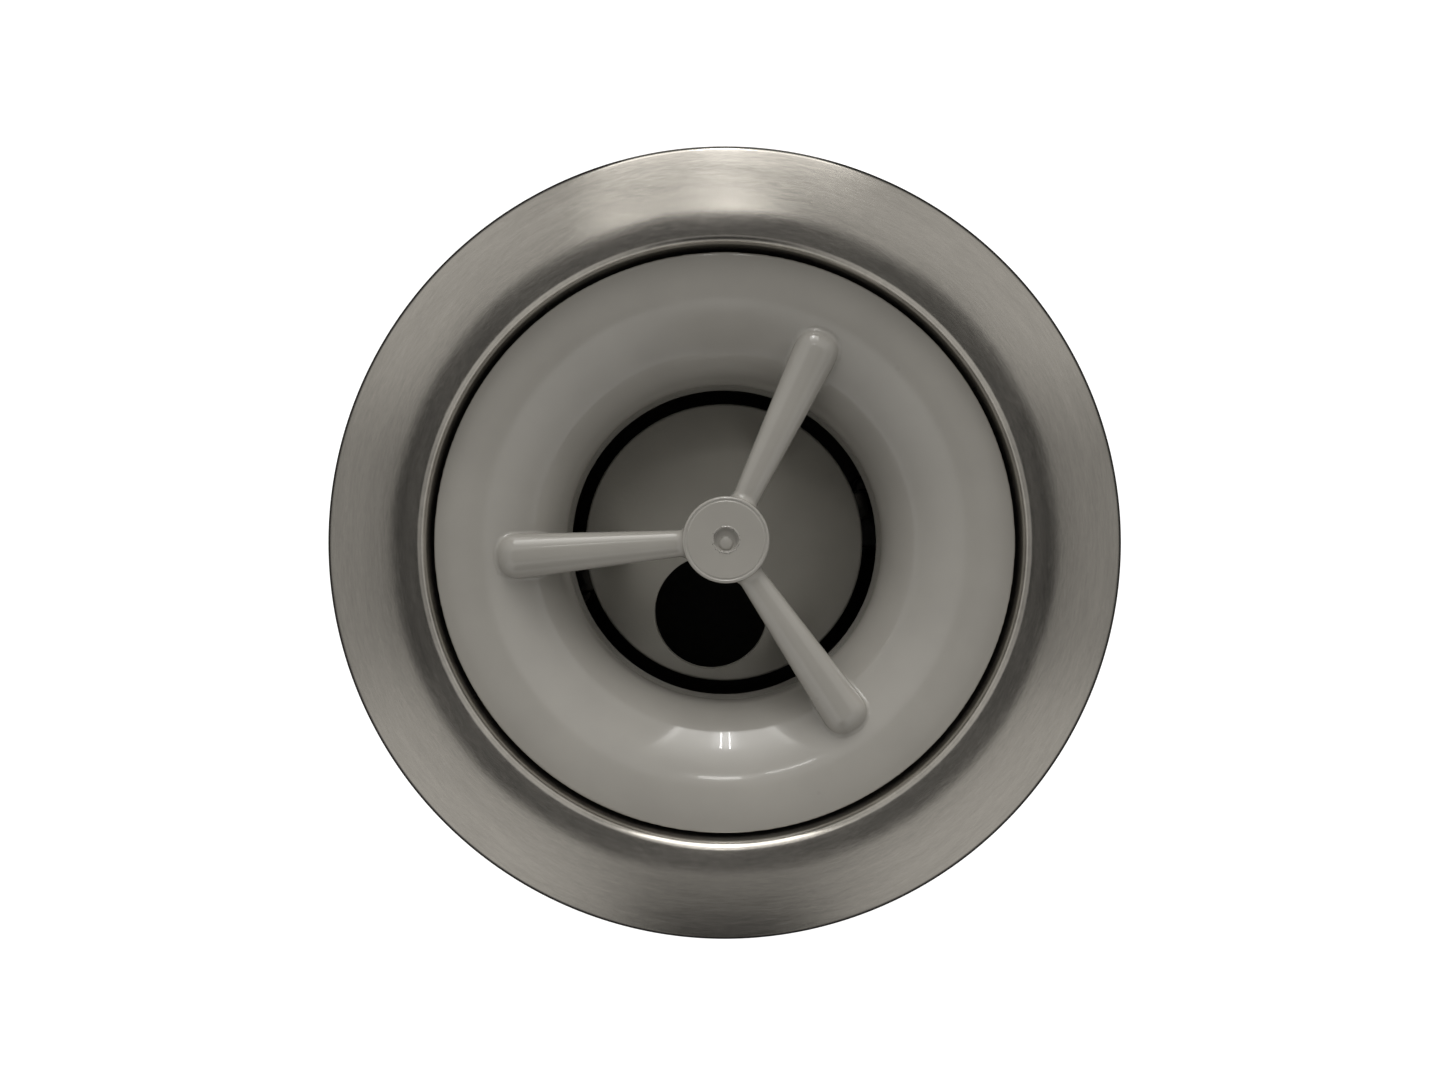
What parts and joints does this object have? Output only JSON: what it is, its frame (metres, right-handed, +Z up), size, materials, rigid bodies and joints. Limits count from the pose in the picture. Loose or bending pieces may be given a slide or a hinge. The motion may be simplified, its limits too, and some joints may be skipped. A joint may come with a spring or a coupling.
{
  "type": "batch-feed garbage disposer",
  "caption": "Batch-feed kitchen garbage disposer: a turning feed cover with a three-arm grip in a steel sink flange, over a grinding hopper, drain elbow and motor.",
  "frame": {"origin": "centre of the sink's drain opening, on the sink surface that the flange rim seats on", "axes": "+Z up out of the sink along the feed axis, +X towards the discharge elbow, +Y towards the reset button's opposite side, where the wiring cover is"},
  "size_m": [0.2065, 0.146, 0.3371],
  "materials": {
    "stainless": "brushed round the axis",
    "zinc_steel": "zinc plated",
    "bearing_steel": "ground",
    "cover_plastic": "glossy moulded",
    "baffle_plastic": "fine matte texture",
    "black_plastic": "satin moulded",
    "rubber": "matte",
    "hopper_paint": "satin epoxy paint",
    "trim_plastic": "fine leather grain",
    "housing_paint": "satin powder coat",
    "cast_aluminium": "as cast",
    "core_iron": "stacked laminations",
    "copper_wire": "varnished winding",
    "liner_foam": "closed-cell foam",
    "magnet": "nickel plated",
    "reset_red": "satin moulded"
  },
  "bodies": {
    "root": {"sink_flange": "stainless", "sink_gasket": "rubber", "backup_flange": "zinc_steel", "upper_mount_ring": "zinc_steel", "mount_screw_1": "zinc_steel", "mount_screw_2": "zinc_steel", "mount_screw_3": "zinc_steel", "snap_ring": "stainless", "mount_gasket": "rubber", "hopper": "hopper_paint", "inlet_plug": "black_plastic", "reed_switch": "black_plastic", "shredder_ring": "stainless", "chamber_gasket": "rubber", "hopper_screw_1": "zinc_steel", "hopper_screw_2": "zinc_steel", "hopper_screw_3": "zinc_steel", "hopper_screw_4": "zinc_steel", "upper_end_frame": "cast_aluminium", "shaft_seal": "rubber", "upper_bearing": "bearing_steel", "discharge_gasket": "rubber", "discharge_elbow": "black_plastic", "discharge_flange": "zinc_steel", "discharge_screw_1": "zinc_steel", "discharge_screw_2": "zinc_steel", "trim_shell": "trim_plastic", "sound_liner": "liner_foam", "motor_housing": "housing_paint", "stator_core": "core_iron", "winding_upper": "copper_wire", "winding_lower": "copper_wire", "start_switch": "black_plastic", "through_bolt_1": "zinc_steel", "through_bolt_2": "zinc_steel", "through_bolt_3": "zinc_steel", "through_bolt_4": "zinc_steel", "lower_end_bell": "housing_paint", "lower_bearing": "bearing_steel", "overload_protector": "black_plastic", "wiring_cover": "zinc_steel", "wiring_screw": "zinc_steel", "cable_gland": "black_plastic"},
    "sleeve": {"switch_sleeve": "black_plastic", "sleeve_magnet_1": "magnet", "sleeve_magnet_2": "magnet"},
    "cover": {"feed_cover": "cover_plastic", "cover_baffle": "baffle_plastic"},
    "rotor": {"turntable": "stainless", "turntable_nut": "stainless", "motor_shaft": "bearing_steel", "rotor_core": "cast_aluminium", "impeller_pin_1": "zinc_steel", "impeller_pin_2": "zinc_steel"},
    "lock_ring": {"lock_ring": "zinc_steel"},
    "impeller_1": {"impeller_1": "stainless"},
    "impeller_2": {"impeller_2": "stainless"},
    "start_actuator": {"start_actuator": "black_plastic"},
    "reset_button": {"reset_button": "reset_red"}
  },
  "joints": [
    {"name": "cover_turn", "type": "hinge", "parent": "root", "child": "sleeve", "pos_m": [0, 0, 0], "axis": [0, 0, 1], "range_deg": [0, 45]},
    {"name": "cover_lift", "type": "slide", "parent": "sleeve", "child": "cover", "axis": [0, 0, 1], "range_m": [0, 0.07]},
    {"name": "lock_ring_turn", "type": "hinge", "parent": "root", "child": "lock_ring", "pos_m": [0, 0, -0.05], "axis": [0, 0, 1], "range_deg": [0, 35]},
    {"name": "turntable_spin", "type": "hinge", "parent": "root", "child": "rotor", "pos_m": [0, 0, -0.1325], "axis": [0, 0, 1], "continuous": true},
    {"name": "impeller_1_swivel", "type": "hinge", "parent": "rotor", "child": "impeller_1", "pos_m": [0.03792, 0.00248, -0.1325], "axis": [0, 0, 1], "continuous": true},
    {"name": "impeller_2_swivel", "type": "hinge", "parent": "rotor", "child": "impeller_2", "pos_m": [-0.03792, -0.00248, -0.1325], "axis": [0, 0, 1], "continuous": true},
    {"name": "start_actuator_slide", "type": "slide", "parent": "rotor", "child": "start_actuator", "axis": [0, 0, 1], "range_m": [0, 0.003], "stiffness_N_per_m": 150},
    {"name": "reset_press", "type": "slide", "parent": "root", "child": "reset_button", "axis": [0, 0, 1], "range_m": [0, 0.0025], "stiffness_N_per_m": 400}
  ]
}
